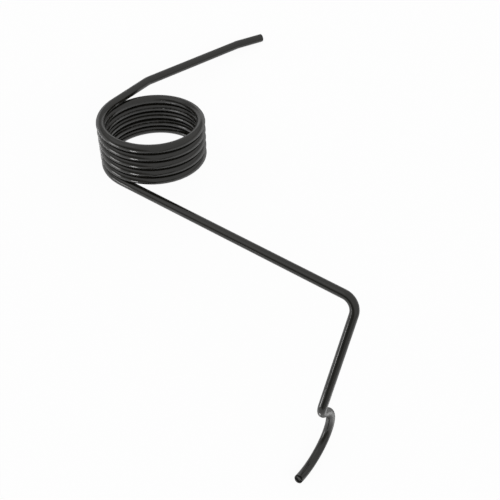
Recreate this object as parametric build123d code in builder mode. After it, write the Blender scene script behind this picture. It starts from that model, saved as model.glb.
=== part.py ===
from build123d import *
from math import acos, atan, cos, degrees, pi, radians, sin, sqrt
import os

# Left-hand torsion spring: one length of round wire, close wound into a coil, with a leg
# leaving each end of the coil along its tangent.  The short leg has two shallow bends.
# The long leg turns a square corner into an arm that ends in a round hook.
# It lies as it comes to rest, +Z up, on the short leg's tip, the coil's edge and the hook.
# +X runs along the long leg as seen from above.  The origin is on the surface it lies on,
# under the middle of its bounding box.

# Wire
wire_diameter = 4.0
cut_end_break = 0.2

# Coil
coil_inside_diameter = 41.5
coil_turns = 5.25
turn_gap = 0.16

# Short leg, from the coil's upper end: lengths run between the corners of its bends
short_leg_root = 23.7
short_leg_middle = 57.3
short_leg_end = 15.1
short_leg_bend_1 = 12.5
short_leg_bend_2 = 9.8
short_leg_bend_inside_radius = 6.0

# Long leg, from the coil's lower end to its square corner
long_leg_length = 124.4
corner_inside_radius = 4.3

# Arm and hook: the arm runs from the corner to the hook's crown, leaning out from the coil
arm_length = 56.8
arm_lean = 20.4
hook_inside_diameter = 31.4
hook_neck_inside_radius = 4.2

# Sizes of the wire's centreline
wire_radius = wire_diameter / 2
coil_mean_radius = coil_inside_diameter / 2 + wire_radius
coil_pitch = wire_diameter + turn_gap
coil_height = coil_pitch * coil_turns
coil_slope = degrees(atan(coil_pitch / (2 * pi * coil_mean_radius)))
short_leg_bend_radius = short_leg_bend_inside_radius + wire_radius
corner_radius = corner_inside_radius + wire_radius
hook_mean_radius = hook_inside_diameter / 2 + wire_radius
hook_neck_radius = hook_neck_inside_radius + wire_radius


def direction(azimuth, slope=0.0):
    """Unit vector at an azimuth from +X towards +Y and a slope above level, in degrees."""
    return Vector(1, 0, 0).rotate(Axis.Y, -slope).rotate(Axis.Z, azimuth)


def coil_point(turns):
    """Centreline point that many turns up from the coil's lower end, climbing clockwise."""
    height = coil_pitch * turns - coil_height / 2
    return direction(-360 * turns) * coil_mean_radius + Vector(0, 0, height)


# The centreline in the coil's own frame: Z on its axis, its lower end on +X
lower_end = coil_point(0)
upper_end = coil_point(coil_turns)

# Short leg: its root keeps the coil's slope, and the rest of it is square to the axis
root_azimuth = -360 * coil_turns - 90
middle_azimuth = root_azimuth - short_leg_bend_1
tip_azimuth = middle_azimuth - short_leg_bend_2
short_bend_1 = upper_end + direction(root_azimuth, coil_slope) * short_leg_root
short_bend_2 = short_bend_1 + direction(middle_azimuth) * short_leg_middle
short_leg_tip = short_bend_2 + direction(tip_azimuth) * short_leg_end

# Long leg: the arm and its hook lie in the plane square to it at the corner
long_leg_direction = direction(90, -coil_slope)
corner = lower_end + long_leg_direction * long_leg_length
straight_down = direction(90, -coil_slope - 90)
arm_direction = straight_down.rotate(Axis(corner, long_leg_direction), -arm_lean)
hook_plane = Plane(corner, x_dir=arm_direction, z_dir=long_leg_direction)

# The hook's centre is on the arm's line.  The neck bends off that line to meet the hook.
hook_centre = arm_length + hook_mean_radius
neck_reach = sqrt(hook_mean_radius**2 + 2 * hook_mean_radius * hook_neck_radius)
neck_start = hook_centre - neck_reach
neck_turn = degrees(acos(hook_neck_radius / (hook_mean_radius + hook_neck_radius)))


def hook_point(angle):
    """Centreline point of the hook at an angle from its crown, in degrees."""
    along = hook_centre - hook_mean_radius * cos(radians(angle))
    across = hook_mean_radius * sin(radians(angle))
    return hook_plane.from_local_coords(Vector(along, across, 0))


with BuildLine(hook_plane) as hook_line:
    neck = JernArc((neck_start, 0), (1, 0), hook_neck_radius, neck_turn)
    JernArc(neck @ 1, neck % 1, hook_mean_radius, -neck_turn - 90)

with BuildLine() as centreline:
    FilletPolyline(
        short_leg_tip, short_bend_2, short_bend_1, upper_end, radius=short_leg_bend_radius
    )
    Helix(coil_pitch, coil_height, coil_mean_radius, center=(0, 0, -coil_height / 2), lefthand=True)
    FilletPolyline(lower_end, corner, corner + arm_direction * neck_start, radius=corner_radius)
    add(hook_line.line)

with BuildPart() as spring_wire:
    with BuildSketch(Plane(short_leg_tip, z_dir=short_bend_2 - short_leg_tip)):
        Circle(wire_radius)
    sweep(path=centreline.line)
    cut_ends = spring_wire.faces().filter_by(GeomType.PLANE)
    chamfer(cut_ends.edges(), length=cut_end_break)

# Find the surface that it lies on.  The upright starts as the coil's own axis and settles
# square to the plane through the lowest points of the coil, the hook and the short leg's tip.
settling_rounds = 6
steps_per_turn = 360
coil_points = [coil_point(step / steps_per_turn) for step in range(steps_per_turn)]
hook_points = [hook_point(360 * step / steps_per_turn) for step in range(steps_per_turn // 2)]
up = Vector(0, 0, 1)
for settling in range(settling_rounds):
    coil_foot = min(coil_points, key=up.dot)
    hook_foot = min(hook_points, key=up.dot)
    up = (coil_foot - short_leg_tip).cross(hook_foot - short_leg_tip).normalized()
along_floor = long_leg_direction - up * up.dot(long_leg_direction)
resting_plane = Plane((0, 0, 0), x_dir=along_floor, z_dir=up)

with BuildPart() as lying_spring:
    with Locations(resting_plane.location.inverse()):
        add(spring_wire.part)

with BuildPart() as torsion_spring:
    lying_box = lying_spring.part.bounding_box()
    middle = lying_box.center()
    with Locations((-middle.X, -middle.Y, -lying_box.min.Z)):
        add(lying_spring.part)

os.makedirs("parts", exist_ok=True)
torsion_spring.part.label = "torsion_spring"
export_step(torsion_spring.part, "parts/torsion_spring.step")
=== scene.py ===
from math import cos, pi, radians, sin

import bpy
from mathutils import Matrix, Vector

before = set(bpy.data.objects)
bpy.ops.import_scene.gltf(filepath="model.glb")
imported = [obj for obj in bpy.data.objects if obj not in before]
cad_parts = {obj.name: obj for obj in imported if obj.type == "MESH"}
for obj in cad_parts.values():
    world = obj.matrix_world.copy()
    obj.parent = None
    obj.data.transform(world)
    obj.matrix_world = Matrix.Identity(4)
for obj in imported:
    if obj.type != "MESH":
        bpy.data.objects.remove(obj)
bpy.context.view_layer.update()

# A black coated torsion spring on a white floor.  Lengths are in metres and angles in degrees.

# Camera
CAMERA_PLACE = (0.02046, -0.14121, 0.34634)
CAMERA_TURN = (17.960, -10.157, 34.885)
CAMERA_LENS_MM = 54.97
CAMERA_CLIP = (0.01, 20)

# Studio sky: how bright it is overhead, at the horizon and on the dark front side, where 1 is white.
# The fades are the height at which it is as bright as overhead, and how far the dark side spreads.
OVERHEAD = 0.88
HORIZON = 0.5
HORIZON_FADE = 0.5
FRONT = 0.2
FRONT_DIRECTION = (-0.12, -0.98, 0.12)
FRONT_FADE = (0.66, 0.93)

# Softbox high on the left, placed from the middle of the floor
SOFTBOX_AZIMUTH = -105
SOFTBOX_ELEVATION = 40
SOFTBOX_DISTANCE = 1.2
SOFTBOX_SIDE = 0.8
SOFTBOX_BRIGHTNESS = 0.25
SOFTBOX_SPREAD = 180

# White cards just above the floor that put the small highlights low on the sides of the wire:
# where each one is, what it faces, its width and height, its brightness and its spread
CARDS = {
    "arm_card": ((-0.063, -0.250, 0.006), (0.066, -0.050, 0.045), 0.06, 0.022, 0.21, 24),
    "arm_low_card": ((0.0365, -0.1075, 0.0135), (0.070, -0.063, 0.036), 0.012, 0.012, 0.4, 40),
    "elbow_card": ((0.076, -0.083, 0.014), (0.072, -0.065, 0.033), 0.004, 0.004, 2.2, 60),
    "neck_card": ((0.098, -0.052, 0.002), (0.078, -0.060, 0.024), 0.020, 0.020, 0.4, 60),
    "hook_card": ((0.070, -0.080, 0.002), (0.082, -0.065, 0.010), 0.004, 0.004, 0.6, 60),
    "coil_front_card": ((-0.048, -0.073, 0.006), (-0.056, -0.025, 0.035), 0.014, 0.012, 1.3, 60),
    "coil_corner_card": ((-0.092, -0.068, 0.012), (-0.064, -0.027, 0.030), 0.026, 0.014, 0.6, 60),
    "coil_side_card": ((-0.095, -0.0235, 0.007), (-0.084, -0.0235, 0.035), 0.006, 0.028, 1.2, 90),
    "coil_bore_card": ((-0.0645, -0.003, 0.001), (-0.058, 0.012, 0.016), 0.004, 0.006, 1.5, 100),
}

# Floor: its own colour, and how much of it the camera and the reflections see as plain white.
# The rest keeps the spring's shadow.
FLOOR_SIDE = 6.0
FLOOR_COLOR = (0.95, 0.95, 0.95, 1)
FLOOR_WHITE = 0.94

# Black coating: it is a little browner and duller in patches, and duller where it is seen edge on
COATING_COLOR = (0.0085, 0.0084, 0.0062, 1)
COATING_PATCH_COLOR = (0.0108, 0.0100, 0.0074, 1)
COATING_ROUGHNESS = 0.09
COATING_PATCH_ROUGHNESS = 0.15
PATCH_SIZE = 0.004
PATCH_DETAIL = 3
PATCH_EDGE = (0.42, 0.62)
EDGE_ON = (0.5, 0.85)
EDGE_ON_ROUGHNESS = 0.7
GRAIN_SIZE = 0.0009
GRAIN_DETAIL = 2
GRAIN_HEIGHT = 0.00002

# Sheared ends of the wire, short leg first: the middle of each cut face, and which way it faces.
# They are bare steel, mostly darkened, with brighter smears, and the shear broke the coating at the rim.
CUT_FACES = [
    ((-0.05670, 0.08810, 0.00200), (0.4657, 0.8779, -0.1110)),
    ((0.08382, -0.08782, 0.00569), (-0.2596, -0.7739, 0.5776)),
]
CUT_RADIUS = 0.0022
CUT_DEPTH = 0.0006
DARK_STEEL_COLOR = (0.012, 0.012, 0.011, 1)
SMEAR_COLOR = (0.12, 0.118, 0.112, 1)
SMEAR_EDGE = (0.54, 0.68)
CUT_ROUGHNESS = 0.35
SHEAR_MARK_SIZE = 0.0011
SHEAR_MARK_DETAIL = 2
SHEAR_MARK_STRETCH = (0.35, 1, 1)
SHEAR_MARK_HEIGHT = 0.0004

# The heights of the grain and of the shear marks are in metres already, so the bump takes them as they are
BUMP_DISTANCE = 1


def feed(tree, node, values):
    """Fill a node's inputs: each value is a number, a vector or another node's output."""
    for slot, value in values.items():
        if isinstance(value, bpy.types.NodeSocket):
            tree.links.new(value, node.inputs[slot])
        else:
            node.inputs[slot].default_value = value
    return node


def combine(tree, operation, first, second):
    """One number made from two."""
    node = tree.nodes.new("ShaderNodeMath")
    node.operation = operation
    return feed(tree, node, {0: first, 1: second}).outputs["Value"]


def combine_vectors(tree, operation, first, second, output):
    """A vector or a number made from two vectors."""
    node = tree.nodes.new("ShaderNodeVectorMath")
    node.operation = operation
    return feed(tree, node, {0: first, 1: second}).outputs[output]


def remap(tree, value, old, new, curve="LINEAR"):
    """A value stretched from an old range to a new one, and held inside the new one."""
    node = tree.nodes.new("ShaderNodeMapRange")
    node.interpolation_type = curve
    limits = {"From Min": old[0], "From Max": old[1], "To Min": new[0], "To Max": new[1]}
    return feed(tree, node, {"Value": value, **limits}).outputs["Result"]


def mix(tree, factor, first, second):
    """A number between two, by a factor from 0 to 1."""
    node = tree.nodes.new("ShaderNodeMix")
    return feed(tree, node, {"Factor": factor, "A": first, "B": second}).outputs["Result"]


def mix_color(tree, factor, first, second):
    """A colour between two, by a factor from 0 to 1."""
    node = tree.nodes.new("ShaderNodeMixRGB")
    return feed(tree, node, {"Fac": factor, "Color1": first, "Color2": second}).outputs["Color"]


def noise(tree, place, size, detail):
    """Smooth random numbers from 0 to 1, with spots of about that size."""
    node = tree.nodes.new("ShaderNodeTexNoise")
    return feed(tree, node, {"Vector": place, "Scale": 1 / size, "Detail": detail}).outputs["Fac"]


def cut_faces(tree, place):
    """1 on the cut faces of the wire and their rims, 0 on the rest of it."""
    faces = 0
    for middle, outward in CUT_FACES:
        from_middle = combine_vectors(tree, "SUBTRACT", place, middle, "Vector")
        height = combine_vectors(tree, "DOT_PRODUCT", from_middle, outward, "Value")
        distance = combine_vectors(tree, "LENGTH", from_middle, (0, 0, 0), "Value")
        outside = combine(tree, "GREATER_THAN", height, -CUT_DEPTH)
        close = combine(tree, "LESS_THAN", distance, CUT_RADIUS)
        faces = combine(tree, "MAXIMUM", faces, combine(tree, "MULTIPLY", outside, close))
    return faces


def coated_wire():
    material = bpy.data.materials.new("coated_wire")
    material.use_nodes = True
    tree = material.node_tree
    shader = tree.nodes["Principled BSDF"]
    place = tree.nodes.new("ShaderNodeTexCoord").outputs["Object"]
    facing = tree.nodes.new("ShaderNodeLayerWeight").outputs["Facing"]
    patches = remap(tree, noise(tree, place, PATCH_SIZE, PATCH_DETAIL), PATCH_EDGE, (0, 1), "SMOOTHSTEP")
    cut = cut_faces(tree, place)

    along_marks = combine_vectors(tree, "MULTIPLY", place, SHEAR_MARK_STRETCH, "Vector")
    marks = noise(tree, along_marks, SHEAR_MARK_SIZE, SHEAR_MARK_DETAIL)

    coating_color = mix_color(tree, patches, COATING_COLOR, COATING_PATCH_COLOR)
    smears = remap(tree, marks, SMEAR_EDGE, (0, 1), "SMOOTHSTEP")
    cut_color = mix_color(tree, smears, DARK_STEEL_COLOR, SMEAR_COLOR)
    color = mix_color(tree, cut, coating_color, cut_color)

    face_on = mix(tree, patches, COATING_ROUGHNESS, COATING_PATCH_ROUGHNESS)
    edge_on = remap(tree, facing, EDGE_ON, (0, 1))
    coating_roughness = mix(tree, edge_on, face_on, EDGE_ON_ROUGHNESS)
    roughness = mix(tree, cut, coating_roughness, CUT_ROUGHNESS)

    grain = combine(tree, "MULTIPLY", noise(tree, place, GRAIN_SIZE, GRAIN_DETAIL), GRAIN_HEIGHT)
    tear = combine(tree, "MULTIPLY", marks, SHEAR_MARK_HEIGHT)
    bump = tree.nodes.new("ShaderNodeBump")
    feed(tree, bump, {"Height": mix(tree, cut, grain, tear), "Distance": BUMP_DISTANCE})

    feed(tree, shader, {"Base Color": color, "Metallic": cut, "Roughness": roughness})
    feed(tree, shader, {"Normal": bump.outputs["Normal"]})
    return material


def floor_material():
    material = bpy.data.materials.new("floor")
    material.use_nodes = True
    tree = material.node_tree
    own_color = tree.nodes["Principled BSDF"]
    feed(tree, own_color, {"Base Color": FLOOR_COLOR, "Roughness": 1, "Specular IOR Level": 0})
    ray = tree.nodes.new("ShaderNodeLightPath").outputs
    seen = combine(tree, "MAXIMUM", ray["Is Camera Ray"], ray["Is Glossy Ray"])
    seen = combine(tree, "MAXIMUM", seen, ray["Is Transmission Ray"])
    share = combine(tree, "MULTIPLY", seen, FLOOR_WHITE)
    white = tree.nodes.new("ShaderNodeEmission").outputs["Emission"]
    blend = tree.nodes.new("ShaderNodeMixShader")
    feed(tree, blend, {0: share, 1: own_color.outputs["BSDF"], 2: white})
    feed(tree, tree.nodes["Material Output"], {"Surface": blend.outputs["Shader"]})
    return material


def floor():
    half = FLOOR_SIDE / 2
    corners = [(-half, -half, 0), (half, -half, 0), (half, half, 0), (-half, half, 0)]
    mesh = bpy.data.meshes.new("floor")
    mesh.from_pydata(corners, [], [(0, 1, 2, 3)])
    mesh.materials.append(floor_material())
    plane = bpy.data.objects.new("floor", mesh)
    bpy.context.scene.collection.objects.link(plane)


def sky():
    world = bpy.data.worlds.new("studio_sky")
    world.use_nodes = True
    tree = world.node_tree
    direction = tree.nodes.new("ShaderNodeTexCoord").outputs["Generated"]
    axes = feed(tree, tree.nodes.new("ShaderNodeSeparateXYZ"), {"Vector": direction})
    height = axes.outputs["Z"]
    around = remap(tree, height, (0, HORIZON_FADE), (HORIZON, OVERHEAD), "SMOOTHSTEP")
    towards_front = combine_vectors(tree, "DOT_PRODUCT", direction, FRONT_DIRECTION, "Value")
    front = remap(tree, towards_front, FRONT_FADE, (0, 1), "SMOOTHSTEP")
    strength = mix(tree, front, around, FRONT)
    feed(tree, tree.nodes["Background"], {"Color": (1, 1, 1, 1), "Strength": strength})
    bpy.context.scene.world = world


def lamp(name, place, target, width, height, brightness, spread):
    """A rectangular lamp that the camera doesn't see."""
    data = bpy.data.lights.new(name, "AREA")
    data.shape = "RECTANGLE"
    data.size = width
    data.size_y = height
    data.energy = brightness * pi * width * height
    data.spread = radians(spread)
    panel = bpy.data.objects.new(name, data)
    panel.location = place
    panel.rotation_euler = (Vector(target) - Vector(place)).to_track_quat("-Z", "Y").to_euler()
    panel.visible_camera = False
    bpy.context.scene.collection.objects.link(panel)


def softbox():
    azimuth = radians(SOFTBOX_AZIMUTH)
    elevation = radians(SOFTBOX_ELEVATION)
    out = SOFTBOX_DISTANCE * cos(elevation)
    place = (out * sin(azimuth), out * cos(azimuth), SOFTBOX_DISTANCE * sin(elevation))
    middle = (0, 0, 0)
    lamp("softbox", place, middle, SOFTBOX_SIDE, SOFTBOX_SIDE, SOFTBOX_BRIGHTNESS, SOFTBOX_SPREAD)


def cards():
    for name, card in CARDS.items():
        lamp(name, *card)


def camera():
    data = bpy.data.cameras.new("camera")
    data.lens = CAMERA_LENS_MM
    data.clip_start, data.clip_end = CAMERA_CLIP
    eye = bpy.data.objects.new("camera", data)
    eye.location = CAMERA_PLACE
    eye.rotation_euler = [radians(turn) for turn in CAMERA_TURN]
    bpy.context.scene.collection.objects.link(eye)
    bpy.context.scene.camera = eye


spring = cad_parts["torsion_spring"]
spring.data.materials.clear()
spring.data.materials.append(coated_wire())
floor()
sky()
softbox()
cards()
camera()
bpy.context.scene.view_settings.view_transform = "Standard"
